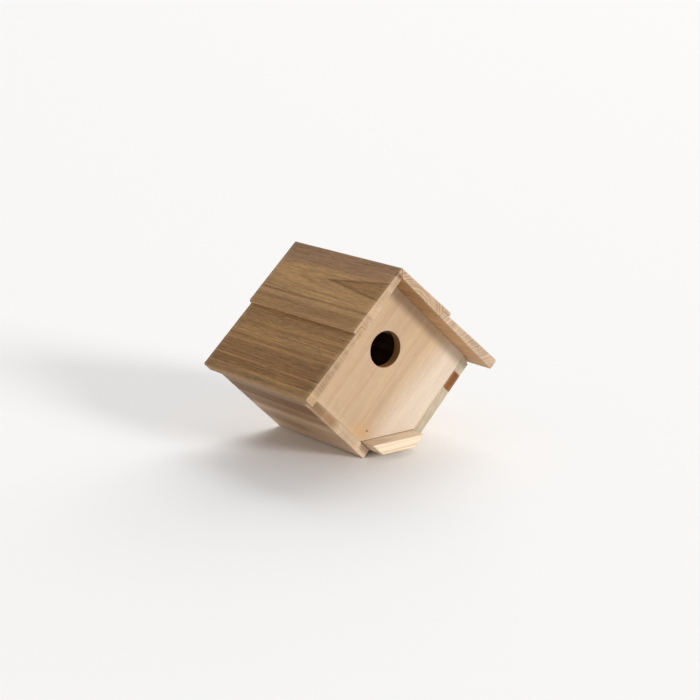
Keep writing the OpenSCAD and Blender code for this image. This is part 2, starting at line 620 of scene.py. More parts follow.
    def _shade_sides(self, tree: bpy.types.NodeTree, axes: BoardAxes,
             colour: bpy.types.NodeSocket) -> bpy.types.NodeSocket:
        """Darkens the sides and the walls of holes with a brown multiply: painted shade for the shade
        inside the holes and between the parts.

        Args:
            tree: The material's tree.
            axes: The board's directions.
            colour: The colour so far.

        Returns:
            The colour with painted shade on the sides.
        """
        full_below, none_above = 0.1, 0.75      # cosine of the angle between a face and the board's own
        normal = add(tree, "ShaderNodeTexCoord").outputs["Normal"]
        facing = add(tree, "ShaderNodeVectorMath", DOT,
                     {0: normal, 1: axes.grain.cross(axes.across)}).outputs["Value"]
        size = add(tree, "ShaderNodeMath", SIZE_OF, {0: facing}).outputs[0]
        side = add(tree, "ShaderNodeMapRange", SMOOTH,
                   {0: size, 1: full_below, 2: none_above, 3: self.painted_side_shade, 4: 0.0}).outputs[0]
        brown = add(tree, "ShaderNodeMix", {"data_type": "RGBA", "blend_type": "MULTIPLY"},
                    {0: 1.0, 6: colour, 7: linear(SIDE_SHADE_BROWN)}).outputs[2]
        return add(tree, "ShaderNodeMix", COLOURS, {0: side, 6: colour, 7: brown}).outputs[2]

    def _rubbed(self, tree: bpy.types.NodeTree, colour: bpy.types.NodeSocket,
                fibre: bpy.types.NodeSocket) -> bpy.types.NodeSocket:
        """Rubs the edges paler.

        Args:
            tree: The material's tree.
            colour: The colour so far.
            fibre: The fine pattern, which breaks up the rubbed edges.

        Returns:
            The finished colour.
        """
        paler = 0.5
        rubbed = add(tree, "ShaderNodeAttribute", {"attribute_name": "edge"}).outputs["Fac"]
        broken = add(tree, "ShaderNodeMath", TIMES, {0: rubbed, 1: fibre}).outputs[0]
        worn = add(tree, "ShaderNodeMath", TIMES, {0: broken, 1: paler}).outputs[0]
        return add(tree, "ShaderNodeMix", COLOURS,
                   {0: worn, 6: colour, 7: linear(RUBBED_EDGE)}).outputs[2]

    def _surface(self, tree: bpy.types.NodeTree, colour: bpy.types.NodeSocket, ring: bpy.types.NodeSocket,
                 fibre: bpy.types.NodeSocket, end: bpy.types.NodeSocket) -> None:
        """Adds the shader with the wood's roughness and relief.

        Args:
            tree: The material's tree.
            colour: The finished colour.
            ring: How much each point is latewood.
            fibre: The fine pattern.
            end: 1 on end grain.
        """
        dark_rough, pale_smooth = 0.72, 0.56    # the dark pores scatter more than the pale fibres
        end_rough = 0.18                        # added on end grain
        ring_height = 0.7                       # of a latewood line, beside 1 for the fibres
        bump_height = 0.12 * MM
        wood_ior = 1.48
        rough = add(tree, "ShaderNodeMapRange", {}, {0: fibre, 3: dark_rough, 4: pale_smooth}).outputs[0]
        rougher = add(tree, "ShaderNodeMath", TIMES_PLUS, {0: end, 1: end_rough, 2: rough}).outputs[0]
        raised = add(tree, "ShaderNodeMath", TIMES_PLUS, {0: ring, 1: ring_height, 2: fibre}).outputs[0]
        bump = add(tree, "ShaderNodeBump", {},
                   {"Height": raised, "Distance": bump_height, "Strength": 0.55}).outputs[0]
        shader = add(tree, "ShaderNodeBsdfPrincipled", {},
                     {"Base Color": colour, "Roughness": rougher, "IOR": wood_ior, "Normal": bump})
        add(tree, "ShaderNodeOutputMaterial", {}, {"Surface": shader.outputs[0]})


@dataclass(frozen=True)
class GalvanisedFinish:
    """Dull galvanised steel: grey, with a faint uneven bloom and no bright highlight.

    Attributes:
        colour: Colour of the bare zinc.
        bloom: Colour of the bloom on it.
        patch_mm: Width of a patch of bloom.
        roughness: Roughness of the zinc and of the bloom.
    """

    colour: str = "#8f8b84"
    bloom: str = "#6d675e"
    patch_mm: float = 0.6
    roughness: tuple[float, float] = (0.42, 0.62)

    def material(self, name: str) -> bpy.types.Material:
        """Builds the material.

        Args:
            name: The material's name.

        Returns:
            The finished material.
        """
        made = empty_material(name)
        tree = made.node_tree
        place = add(tree, "ShaderNodeTexCoord").outputs["Object"]
        patches = add(tree, "ShaderNodeTexNoise", {},
                      {"Vector": place, "Scale": 1 / (self.patch_mm * MM), "Detail": 3.0}).outputs[0]
        colour = add(tree, "ShaderNodeMix", COLOURS,
                     {0: patches, 6: linear(self.colour), 7: linear(self.bloom)}).outputs[2]
        rough = add(tree, "ShaderNodeMapRange", {},
                    {0: patches, 3: self.roughness[0], 4: self.roughness[1]}).outputs[0]
        shader = add(tree, "ShaderNodeBsdfPrincipled", {},
                     {"Base Color": colour, "Roughness": rough, "Metallic": 1.0})
        add(tree, "ShaderNodeOutputMaterial", {}, {"Surface": shader.outputs[0]})
        return made


@dataclass(frozen=True)
class PaperFinish:
    """Matt white studio paper, plain so that nothing on it competes with the house.

    Attributes:
        colour: Its colour.
        roughness: Roughness of its face.
        gloss: Strength of its reflection, where 0.5 is usual.
    """

    colour: str = "#f8f7f6"
    roughness: float = 0.9
    gloss: float = 0.2

    def material(self, name: str) -> bpy.types.Material:
        """Builds the material.

        Args:
            name: The material's name.

        Returns:
            The finished material.
        """
        made = empty_material(name)
        tree = made.node_tree
        shader = add(tree, "ShaderNodeBsdfPrincipled", {},
                     {"Base Color": linear(self.colour), "Roughness": self.roughness,
                      "Specular IOR Level": self.gloss})
        add(tree, "ShaderNodeOutputMaterial", {}, {"Surface": shader.outputs[0]})
        return made


# ---------------------------------------------------------------- geometry nodes


class NodeRule:
    """A Geometry Nodes tree with named inputs, applied to pieces one at a time."""

    def __init__(self, name: str, inputs: dict[str, str]) -> None:
        """Makes an empty tree with its sockets.

        Args:
            name: The tree's name.
            inputs: Socket type by input name. The geometry comes in before them.
        """
        self.tree = bpy.data.node_groups.new(name, "GeometryNodeTree")
        sides = self.tree.interface
        sides.new_socket("Geometry", in_out="INPUT", socket_type="NodeSocketGeometry")
        sides.new_socket("Geometry", in_out="OUTPUT", socket_type="NodeSocketGeometry")
        self.sockets = {
            label: sides.new_socket(label, in_out="INPUT", socket_type=kind).identifier
            for label, kind in inputs.items()
        }
        self.given = add(self.tree, "NodeGroupInput").outputs

    def end(self, geometry: bpy.types.NodeSocket) -> None:
        """Closes the tree with Realize Instances and Set Material.

        Args:
            geometry: The geometry that the rule made.
        """
        real = add(self.tree, "GeometryNodeRealizeInstances", {}, {0: geometry}).outputs[0]
        dressed = add(self.tree, "GeometryNodeSetMaterial", {},
                      {"Geometry": real, "Material": self.given["Material"]}).outputs[0]
        add(self.tree, "NodeGroupOutput", {}, {0: dressed})

    def apply(self, name: str, start: bpy.types.Mesh, values: dict[str, Any]) -> bpy.types.Object:
        """Runs the rule on a mesh and keeps the result as a plain piece.

        Args:
            name: The piece's name.
            start: The mesh that the rule works on.
            values: Input values by name.

        Returns:
            The finished piece, with no modifier on it.
        """
        source = keep_mesh(name + "_source", start)
        modifier = source.modifiers.new("rule", "NODES")
        modifier.node_group = self.tree
        for label, value in values.items():
            modifier[self.sockets[label]] = value
        result = baked(source)
        bpy.data.objects.remove(source)
        return keep_mesh(name, result)


class PlanedRelief(NodeRule):
    """Raises the grain of a planed board: low ridges that run along the fibres.

    The faces only move inwards, so the board keeps inside its own size.
    """

    def __init__(self) -> None:
        """Builds the tree."""
        super().__init__("planed_relief", {
            "Grain": "NodeSocketVector",
            "Ridge Width": "NodeSocketFloat",
            "Ridge Length": "NodeSocketFloat",
            "Relief": "NodeSocketFloat",
            "Seed": "NodeSocketFloat",
            "Material": "NodeSocketMaterial",
        })
        tree, given = self.tree, self.given
        place = add(tree, "GeometryNodeInputPosition").outputs[0]
        along = add(tree, "ShaderNodeVectorMath", DOT,
                    {0: place, 1: given["Grain"]}).outputs["Value"]
        squeeze = add(tree, "ShaderNodeMath", {"operation": "DIVIDE"},
                      {0: given["Ridge Width"], 1: given["Ridge Length"]}).outputs[0]
        rest = add(tree, "ShaderNodeMath", MINUS, {0: 1.0, 1: squeeze}).outputs[0]
        removed = add(tree, "ShaderNodeMath", TIMES, {0: along, 1: rest}).outputs[0]
        shift = add(tree, "ShaderNodeVectorMath", {"operation": "SCALE"},
                    {0: given["Grain"], "Scale": removed}).outputs[0]
        stretched = add(tree, "ShaderNodeVectorMath", MINUS, {0: place, 1: shift}).outputs[0]
        scale = add(tree, "ShaderNodeMath", {"operation": "DIVIDE"},
                    {0: 1.0, 1: given["Ridge Width"]}).outputs[0]
        noise = add(tree, "ShaderNodeTexNoise", {"noise_dimensions": "4D"},
                    {"Vector": stretched, "W": given["Seed"], "Scale": scale, "Detail": 2.0}).outputs[0]
        sink = add(tree, "ShaderNodeMath", TIMES,
                   {0: noise, 1: given["Relief"]}).outputs[0]
        depth = add(tree, "ShaderNodeMath", TIMES, {0: sink, 1: -1.0}).outputs[0]
        normal = add(tree, "GeometryNodeInputNormal").outputs[0]
        push = add(tree, "ShaderNodeVectorMath", {"operation": "SCALE"},
                   {0: normal, "Scale": depth}).outputs[0]
        moved = add(tree, "GeometryNodeSetPosition", {},
                    {"Geometry": given["Geometry"], "Offset": push}).outputs[0]
        self.end(moved)


class BradRow(NodeRule):
    """Sets one brad at every point, driven along the point's own direction."""

    SIDES = 20
    CROWN_SHARE = 0.78      # width of the head's flat top, as a share of its own
    RIM_SHARE = 0.3         # share of the head's thickness that slopes up to the flat top

    def __init__(self) -> None:
        """Builds the tree."""
        super().__init__("brad_row", {
            "Head Diameter": "NodeSocketFloat",
            "Head Thickness": "NodeSocketFloat",
            "Shank Diameter": "NodeSocketFloat",
            "Length": "NodeSocketFloat",
            "Material": "NodeSocketMaterial",
        })
        tree, given = self.tree, self.given
        head_radius = add(tree, "ShaderNodeMath", TIMES, {0: given["Head Diameter"], 1: 0.5}).outputs[0]
        shank_radius = add(tree, "ShaderNodeMath", TIMES, {0: given["Shank Diameter"], 1: 0.5}).outputs[0]
        crown = add(tree, "ShaderNodeMath", TIMES, {0: head_radius, 1: self.CROWN_SHARE}).outputs[0]
        rim = add(tree, "ShaderNodeMath", TIMES, {0: given["Head Thickness"], 1: self.RIM_SHARE}).outputs[0]
        body = add(tree, "ShaderNodeMath", TIMES,
                   {0: given["Head Thickness"], 1: 1 - self.RIM_SHARE}).outputs[0]
        parts = [
            (crown, head_radius, rim, None),
            (head_radius, head_radius, body, rim),
            (shank_radius, shank_radius, given["Length"], given["Head Thickness"]),
        ]
        joined = add(tree, "GeometryNodeJoinGeometry")
        for top, bottom, depth, start in parts:
            cone = add(tree, "GeometryNodeMeshCone", {}, {
                "Vertices": self.SIDES, "Radius Top": bottom, "Radius Bottom": top,
                "Depth": depth}).outputs[0]
            if start is None:
                tree.links.new(cone, joined.inputs[0])
                continue
            lift = add(tree, "ShaderNodeCombineXYZ", {}, {"Z": start}).outputs[0]
            raised = add(tree, "GeometryNodeTransform", {},
                         {"Geometry": cone, "Translation": lift}).outputs[0]
            tree.links.new(raised, joined.inputs[0])
        drive = add(tree, "GeometryNodeInputNamedAttribute", {"data_type": "FLOAT_VECTOR"},
                    {"Name": "drive"}).outputs[0]
        turn = add(tree, "FunctionNodeAlignRotationToVector", {"axis": "Z"}, {"Vector": drive}).outputs[0]
        placed = add(tree, "GeometryNodeInstanceOnPoints", {}, {
            "Points": given["Geometry"], "Instance": joined.outputs[0], "Rotation": turn}).outputs[0]
        self.end(placed)


# ---------------------------------------------------------------- board shapes


@dataclass
class BoardShape:
    """Turns the square-edged outline of a CAD board into a finished one.

    Attributes:
        node: The CAD node that it stands for.
        ease: Radius of the eased edges, in millimetres.
        nose: Radius of the rounded nose, in millimetres, or 0 for none.
        nose_towards: Direction of the corner that has the nose.
        grain_step: Spacing of the mesh along the grain, in millimetres.
        cross_step: Spacing of the mesh across the grain, in millimetres.
        bores: Round holes through it along Y: centre in metres and radius in millimetres.
        bore_sides: Number of flat sides that a bore is drawn with.
        rim_ease: Radius of a bore's eased rims, in millimetres.
        rub_reach: How far in from an edge the wood is rubbed, in millimetres.
    """

    node: str
    ease: float
    nose: float = 0.0
    nose_towards: Vector = field(default_factory=lambda: RIGHTWARD)
    grain_step: float = 6.0
    cross_step: float = 1.2
    bores: list[tuple[Vector, float]] = field(default_factory=list)
    bore_sides: int = 96
    rim_ease: float = 0.4
    rub_reach: float = 1.1

    def outline(self) -> list[Vector]:
        """Returns the corners of the CAD board's front face, in order."""
        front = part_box(self.node)[0].y
        work = bmesh.new()
        work.from_mesh(frame["nodes"][self.node].data)
        bmesh.ops.remove_doubles(work, verts=work.verts, dist=TOUCHING)
        beyond = [f for f in work.faces if any(abs(v.co.y - front) > TOUCHING for v in f.verts)]
        bmesh.ops.delete(work, geom=beyond, context="FACES")
        rims = [e for e in work.edges if e.is_boundary]
        loops = []
        while rims:
            first = rims.pop()
            points = [first.verts[0], first.verts[1]]
            while points[-1] is not points[0]:
                step = next(e for e in rims if points[-1] in e.verts)
                rims.remove(step)
                points.append(step.other_vert(points[-1]))
            loops.append([v.co.copy() for v in points[:-1]])
        work.free()
        longest = max(loops, key=lambda loop: max(v.x for v in loop) - min(v.x for v in loop))
        return [p for i, p in enumerate(longest) if self._is_corner(longest, i)]

    @staticmethod
    def _is_corner(loop: list[Vector], i: int) -> bool:
        """Tells whether a loop turns at one of its points.

        Args:
            loop: The points of the loop.
            i: The point's number.

        Returns:
            True where the loop isn't straight.
        """
        straight = 0.9999       # cosine of the least turn that counts
        before = (loop[i] - loop[i - 1]).normalized()
        after = (loop[(i + 1) % len(loop)] - loop[i]).normalized()
        return before.dot(after) < straight

    def build(self, axes: BoardAxes) -> bpy.types.Mesh:
        """Builds the board with eased edges, its holes and an even mesh.

        Args:
            axes: The board's directions, which the mesh follows.

        Returns:
            The finished mesh, with how near each point is to an edge stored as "edge".
        """
        low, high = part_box(self.node)
        work = bmesh.new()
        ring = [work.verts.new(p) for p in self.outline()]
        face = work.faces.new(ring)
        grown = bmesh.ops.extrude_face_region(work, geom=[face])
        moved = [v for v in grown["geom"] if isinstance(v, bmesh.types.BMVert)]
        bmesh.ops.translate(work, verts=moved, vec=(0, high.y - low.y, 0))
        bmesh.ops.recalc_face_normals(work, faces=work.faces)
        sharp = [(e.verts[0].co.copy(), e.verts[1].co.copy()) for e in work.edges]
        self._round(work)
        mesh = bpy.data.meshes.new(self.node)
        work.to_mesh(mesh)
        work.free()
        for centre, radius in self.bores:
            mesh = self._bored(mesh, centre, radius)
        mesh = self._gridded(mesh, axes)
        self._mark_edges(mesh, sharp)
        return mesh

    def _round(self, work: bmesh.types.BMesh) -> None:
        """Rounds the nose and eases the other edges.

        Args:
            work: The square-edged board.
        """
        if self.nose:
            far = max(v.co.dot(self.nose_towards) for v in work.verts)
            nose = [e for e in work.edges
                    if all(abs(v.co.dot(self.nose_towards) - far) < TOUCHING for v in e.verts)]
            bmesh.ops.bevel(work, geom=nose, offset=self.nose * MM, offset_type="OFFSET", segments=5,
                            profile=0.5, affect="EDGES", clamp_overlap=True)
        edges = [e for e in work.edges if e.calc_face_angle(0.0) > math.radians(30)]
        bmesh.ops.bevel(work, geom=edges, offset=self.ease * MM, offset_type="OFFSET", segments=3,
                        profile=0.5, affect="EDGES", clamp_overlap=True)

    def _bored(self, mesh: bpy.types.Mesh, centre: Vector, radius: float) -> bpy.types.Mesh:
        """Bores one round hole through the board along Y, with an eased rim.

        Args:
            mesh: The board.
            centre: The hole's centre in metres.
            radius: The hole's radius in millimetres.

        Returns:
            The bored board.
        """
        right_through = 40 * MM     # well past both faces of a panel
        on_rim = 1e-5
        along_y = Matrix.Translation(centre) @ Matrix.Rotation(math.pi / 2, 4, "X")
        cutter = bmesh.new()
        bmesh.ops.create_cone(cutter, cap_ends=True, segments=self.bore_sides, radius1=radius * MM,
                              radius2=radius * MM, depth=right_through, matrix=along_y)
        tool_mesh = bpy.data.meshes.new("drill")
        cutter.to_mesh(tool_mesh)
        cutter.free()
        tool = keep_mesh("drill", tool_mesh)
        board = keep_mesh("board", mesh)
        cut = board.modifiers.new("bore", "BOOLEAN")
        cut.object = tool
        cut.solver = "EXACT"
        result = baked(board)
        bpy.data.objects.remove(board)
        bpy.data.objects.remove(tool)
        work = bmesh.new()
        work.from_mesh(result)
        rim = [e for e in work.edges if e.calc_face_angle(0.0) > math.radians(60) and all(
            abs((v.co - centre).cross(BACK).length - radius * MM) < on_rim for v in e.verts)]
        bmesh.ops.bevel(work, geom=rim, offset=self.rim_ease * MM, segments=2, profile=0.5,
                        affect="EDGES", clamp_overlap=True)
        work.to_mesh(result)
        work.free()
        return result

    def _gridded(self, mesh: bpy.types.Mesh, axes: BoardAxes) -> bpy.types.Mesh:
        """Cuts the board's faces into an even mesh, long along the grain.

        Args:
            mesh: The board.
            axes: Its directions.

        Returns:
            The same mesh with more faces.
        """
        on_plane = 1e-7     # metres: points nearer than this to a cut are on it
        work = bmesh.new()
        work.from_mesh(mesh)
        through = axes.grain.cross(axes.across)
        cuts = ((axes.grain, self.grain_step), (axes.across, self.cross_step), (through, self.cross_step))
        for direction, step in cuts:
            reach = [v.co.dot(direction) for v in work.verts]
            count = max(1, round((max(reach) - min(reach)) / (step * MM)))
            for i in range(1, count):
                at = min(reach) + (max(reach) - min(reach)) * i / count
                every = work.verts[:] + work.edges[:] + work.faces[:]
                bmesh.ops.bisect_plane(work, geom=every, dist=on_plane, plane_co=direction * at,
                                       plane_no=direction)
        for face in work.faces:
            face.smooth = True
        work.to_mesh(mesh)
        work.free()
        return mesh

    def _mark_edges(self, mesh: bpy.types.Mesh, sharp: list[tuple[Vector, Vector]]) -> None:
        """Stores how near every point is to an edge of the board.

        Args:
            mesh: The finished mesh.
            sharp: The two ends of each edge of the square board.
        """
        places = np.array([v.co for v in mesh.vertices])
        nearest = np.full(len(places), 1.0)
        for start, stop in sharp:
            a, d = np.array(start), np.array(stop - start)
            t = np.clip((places - a) @ d / (d @ d), 0, 1)
            nearest = np.minimum(nearest, np.linalg.norm(places - a - np.outer(t, d), axis=1))
        mark = mesh.attributes.new("edge", "FLOAT", "POINT")
        rubbed = np.exp(-((nearest / (self.rub_reach * MM)) ** 2))
        mark.data.foreach_set("value", rubbed.astype(np.float32))


@dataclass
class Workshop:
    """Makes boards: shape, raised grain and finish, in one go.

    Attributes:
        relief: The rule that raises the grain.
        relief_mm: Depth of the relief.
        ridge_width_mm: Width of a ridge of grain.
        ridge_length_mm: Length of a ridge of grain.
    """

    relief: PlanedRelief = field(default_factory=PlanedRelief)
    relief_mm: float = 0.12
    ridge_width_mm: float = 7.0
    ridge_length_mm: float = 110.0

    def board(self, shape: BoardShape, axes: BoardAxes, finish: CedarFinish, slot: str,
              body: str = HOUSE) -> bpy.types.Object:
        """Makes one board and puts it in place of its CAD node.

        Args:
            shape: The board's shape.
            axes: Its directions.
            finish: Its wood.
            slot: The record's material slot; not used.
            body: The CAD body that it moves with.

        Returns:
            The finished board.
        """
        name = shape.node + "_cedar"
        # Planed cedar with no varnish: smooth, nearly matt faces and a duller end grain
        wood = finish.material("planed_cedar_" + shape.node, axes)
        piece = self.relief.apply(name, shape.build(axes), {
            "Grain": axes.grain,
            "Ridge Width": self.ridge_width_mm * MM,
            "Ridge Length": self.ridge_length_mm * MM,
            "Relief": self.relief_mm * MM,
            "Seed": finish.seed,
            "Material": wood,
        })
        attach(piece, body)
        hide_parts(shape.node)
        LOG.info("%s: %d faces", piece.name, len(piece.data.polygons))
        return piece


# ---------------------------------------------------------------- the house


@dataclass
class RoofSlope:
    """One slope of the roof: an upper board lapped over a lower one.

    Attributes:
        side: The side of the house that it covers.
        upper: Wood of the upper board.
        lower: Wood of the lower board.
        ease: Radius of the eased edges, in millimetres.
        nose: Radius of the rounded butt of a board, in millimetres.
    """

    side: Side
    upper: CedarFinish
    lower: CedarFinish
    ease: float = 0.7
    nose: float = 2.0

    def build(self, shop: Workshop) -> None:
        """Makes both boards.

        Args:
            shop: Where boards are made.
        """
        axes = BoardAxes(BACK, self.side.down_slope(), RIDGE)
        word = self.side.name.lower()
        outward = RIGHTWARD * self.side.value
        for level, wood in (("upper", self.upper), ("lower", self.lower)):
            shape = BoardShape(f"{level}_{word}_roof_board", self.ease, self.nose, outward)
            shop.board(shape, axes, wood, "roof_cedar")


@dataclass
class Walls:
    """The two walls of the V, cut from one stick, so both show its heartwood band.

    Attributes:
        left: Wood of the left wall.
        right: Wood of the right wall.
        ease: Radius of the eased edges, in millimetres.
    """

    left: CedarFinish
    right: CedarFinish
    ease: float = 0.2

    def build(self, shop: Workshop) -> None:
        """Makes both walls.

        Args:
            shop: Where boards are made.
        """
        for side, wood in ((Side.LEFT, self.left), (Side.RIGHT, self.right)):
            axes = BoardAxes(BACK, side.inward(), RIDGE)
            shape = BoardShape(side.name.lower() + "_wall", self.ease)
            shop.board(shape, axes, wood, "wall_cedar")


@dataclass
class Panels:
    """The front panel with the entrance hole, and the back panel with the screw hole.

    Attributes:
        front: Wood of the front panel.
        back: Wood of the back panel.
        ease: Radius of the eased edges, in millimetres.
        grain_step: Spacing of the mesh along the grain, in millimetres.
    """

    front: CedarFinish
    back: CedarFinish
    ease: float = 0.15
    grain_step: float = 5.0

    def build(self, shop: Workshop) -> None:
        """Makes both panels.

        Args:
            shop: Where boards are made.
        """
        axes = BoardAxes(Side.LEFT.down_slope(), Side.LEFT.inward(), RIDGE)
        holes = {"front_panel": "entrance_hole", "back_panel": "screw_hole"}
        for node, wood in (("front_panel", self.front), ("back_panel", self.back)):
            mount = next(m for m in frame["record"]["mounts"] if m["name"] == holes[node])
            bore = (Vector(mount["pos_m"]), mount["dims"]["r_mm"])
            shape = BoardShape(node, self.ease, grain_step=self.grain_step, bores=[bore])
            shop.board(shape, axes, wood, "panel_cedar")


@dataclass
class SlideOutFloor:
    """The bevelled floor board, whose lip sticks out below the front panel.

    Attributes:
        wood: Its wood.
        ease: Radius of the eased edges, in millimetres.
        grain_step: Spacing of the mesh along the grain, in millimetres.
    """

    wood: CedarFinish
    ease: float = 0.9
    grain_step: float = 5.0

    def build(self, shop: Workshop) -> None:
        """Makes the floor.

        Args:
            shop: Where boards are made.
        """
        low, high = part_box("slide_out_floor")
        axes = BoardAxes(RIGHTWARD, BACK, Vector((0, low.y, high.z)))
        shape = BoardShape("slide_out_floor", self.ease, grain_step=self.grain_step)
        shop.board(shape, axes, self.wood, "floor_cedar", FLOOR_BOARD)


@dataclass
class Brads:
    """The brads that hold the boards to the two panels.

    Attributes:
        finish: Their metal.
        rule: The rule that sets one at each point.
        head_mm: Diameter of a head.
        head_thick_mm: Thickness of a head.
        shank_mm: Diameter of a shank.
    """

    finish: GalvanisedFinish = field(default_factory=GalvanisedFinish)
    rule: BradRow = field(default_factory=BradRow)
    head_mm: float = 1.9
    head_thick_mm: float = 0.8
    shank_mm: float = 1.2

    def points(self, node: str, drive: Vector) -> tuple[bpy.types.Mesh, float]:
        """Finds the head and the length of each brad of a CAD node.

        Args:
            node: The CAD node.
            drive: The direction that its brads are driven in.

        Returns:
            A mesh of one point at each head's top, and the length of a brad in metres.
        """
        work = bmesh.new()
        work.from_mesh(frame["nodes"][node].data)
        bmesh.ops.remove_doubles(work, verts=work.verts, dist=TOUCHING)
        left, heads, length = set(work.verts), [], 0.0
        while left:
            island, edge = set(), [left.pop()]
            while edge:
                vert = edge.pop()
                island.add(vert)
                found = {e.other_vert(vert) for e in vert.link_edges} & left
                left -= found
                edge.extend(found)
            depths = [v.co.dot(drive) for v in island]
            top = [v.co for v in island if v.co.dot(drive) < min(depths) + TOUCHING]
            low = Vector(np.min([list(c) for c in top], axis=0))
            high = Vector(np.max([list(c) for c in top], axis=0))
            heads.append((low + high) / 2)
            length = max(depths) - min(depths)
        work.free()
        heads.sort(key=lambda p: (round(p.y, 5), round(p.z, 5)))
        mesh = bpy.data.meshes.new(node)
        mesh.from_pydata(heads, [], [])
        arrow = mesh.attributes.new("drive", "FLOAT_VECTOR", "POINT")
        arrow.data.foreach_set("vector", np.array([list(drive)] * len(heads), np.float32).ravel())
        return mesh, length

    def build(self) -> None:
        """Makes the four groups of brads."""
        # Drawn wire with a hot zinc coat: a dull grey skin that gives no sharp glint
        steel = self.finish.material("drawn_galvanised_steel")
        for side in Side:
            groups = (("roof_brads", side.inward()), ("wall_brads", -side.down_slope()))
            for group, drive in groups:
                node = f"{side.name.lower()}_{group}"
                mesh, length = self.points(node, drive)
                piece = self.rule.apply(node + "_steel", mesh, {
                    "Head Diameter": self.head_mm * MM,
                    "Head Thickness": self.head_thick_mm * MM,
                    "Shank Diameter": self.shank_mm * MM,
                    "Length": length - self.head_thick_mm * MM,
                    "Material": steel,
                })
                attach(piece, HOUSE)
                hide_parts(node)
                LOG.info("%s: %d faces", piece.name, len(piece.data.polygons))


# ---------------------------------------------------------------- the studio


@dataclass
class Camera:
    """The camera, to the left of the front and a little above it.

    Attributes:
        azimuth: Angle round the house from the front, in degrees.
        elevation: Angle above the horizon, in degrees.
        roll: Turn about the line of sight, in degrees.
        distance: Distance in metres.
        lens: Focal length in millimetres.
        sensor: Width of the sensor in millimetres.
        aim: Point that the line of sight passes near, in metres.
        sideways: Shift of the camera to its right, in millimetres.
        upwards: Shift of the camera upwards in its own frame, in millimetres.
    """

    azimuth: float = -35.17
    elevation: float = 14.04
    roll: float = -1.42
    distance: float = 1.5644
    lens: float = 102.08
    sensor: float = 36.0
    aim: Vector = field(default_factory=lambda: Vector((0, 0, 0.075)))
    sideways: float = 0.65
    upwards: float = -1.73

    def build(self) -> None:
        """Puts the camera in the scene."""
        a, e, r = (math.radians(x) for x in (self.azimuth, self.elevation, self.roll))
        back = Vector((math.sin(a) * math.cos(e), -math.cos(a) * math.cos(e), math.sin(e)))
        level = (-back).cross(Vector((0, 0, 1))).normalized()
        upright = level.cross(-back)
        right = math.cos(r) * level + math.sin(r) * upright
        up = math.cos(r) * upright - math.sin(r) * level
        data = bpy.data.cameras.new("camera")
        data.lens = self.lens
        data.sensor_width = self.sensor
        camera = bpy.data.objects.new("camera", data)
        bpy.context.scene.collection.objects.link(camera)
        place = self.aim + self.distance * back + (self.sideways * right + self.upwards * up) * MM
        camera.matrix_world = Matrix.Translation(place) @ Matrix((right, up, back)).transposed().to_4x4()
        bpy.context.scene.camera = camera


@dataclass(frozen=True)
class Lamp:
    """A far, soft light.

    Attributes:
        name: Its name.
        towards: Direction from the house to the light.
        strength: Its strength in watts per square metre.
        spread: How wide it looks from the house, in degrees: wider is softer.
    """

    name: str
    towards: tuple[float, float, float]
    strength: float
    spread: float

    def build(self) -> None:
        """Puts the light in the scene."""
        data = bpy.data.lights.new(self.name, "SUN")
        data.energy = self.strength
        data.angle = math.radians(self.spread)
        lamp = bpy.data.objects.new(self.name, data)
        bpy.context.scene.collection.objects.link(lamp)
        lamp.rotation_mode = "QUATERNION"
        lamp.rotation_quaternion = Vector(self.towards).to_track_quat("Z", "Y")


@dataclass
class Studio:
    """A pale paper floor, soft lights and an even white surround.

    Attributes:
        lamps: A key light from the right of the front, and a wide back light over the floor.
        surround: Strength of the light from the white surround.
        backdrop: Brightness of the surround behind the floor.
        floor_radius: Radius of the floor in metres.
    """

    lamps: tuple[Lamp, ...] = (
        Lamp("key", (0.22, -1.0, 0.32), 2.1, 17.0),
        Lamp("back", (0.8, 0.5, 0.6), 2.1, 60.0),
    )
    surround: float = 0.43
    backdrop: float = 0.93
    floor_radius: float = 40.0

    def build(self) -> None:
        """Puts the floor, the lights and the surround in the scene."""
        scene = bpy.context.scene
        scene.view_settings.view_transform = "Standard"
        work = bmesh.new()
        bmesh.ops.create_circle(work, cap_ends=True, segments=96, radius=self.floor_radius)
        mesh = bpy.data.meshes.new("paper_floor")
        work.to_mesh(mesh)
        work.free()
        floor = keep_mesh("paper_floor", mesh)
        # Uncoated rolled paper: an even matt white with no sheen
        floor.data.materials.append(PaperFinish().material("matt_white_paper"))
        for lamp in self.lamps:
            lamp.build()
        world = bpy.data.worlds.new("surround")
        world.use_nodes = True
        world.node_tree.nodes.clear()
        seen = add(world.node_tree, "ShaderNodeLightPath").outputs["Is Camera Ray"]
        strength = add(world.node_tree, "ShaderNodeMapRange", {},
                       {0: seen, 3: self.surround, 4: self.backdrop}).outputs[0]
        glow = add(world.node_tree, "ShaderNodeBackground", {},
                   {"Color": linear("#ffffff"), "Strength": strength})
        add(world.node_tree, "ShaderNodeOutputWorld", {}, {"Surface": glow.outputs[0]})
        scene.world = world


# ---------------------------------------------------------------- woods of this house


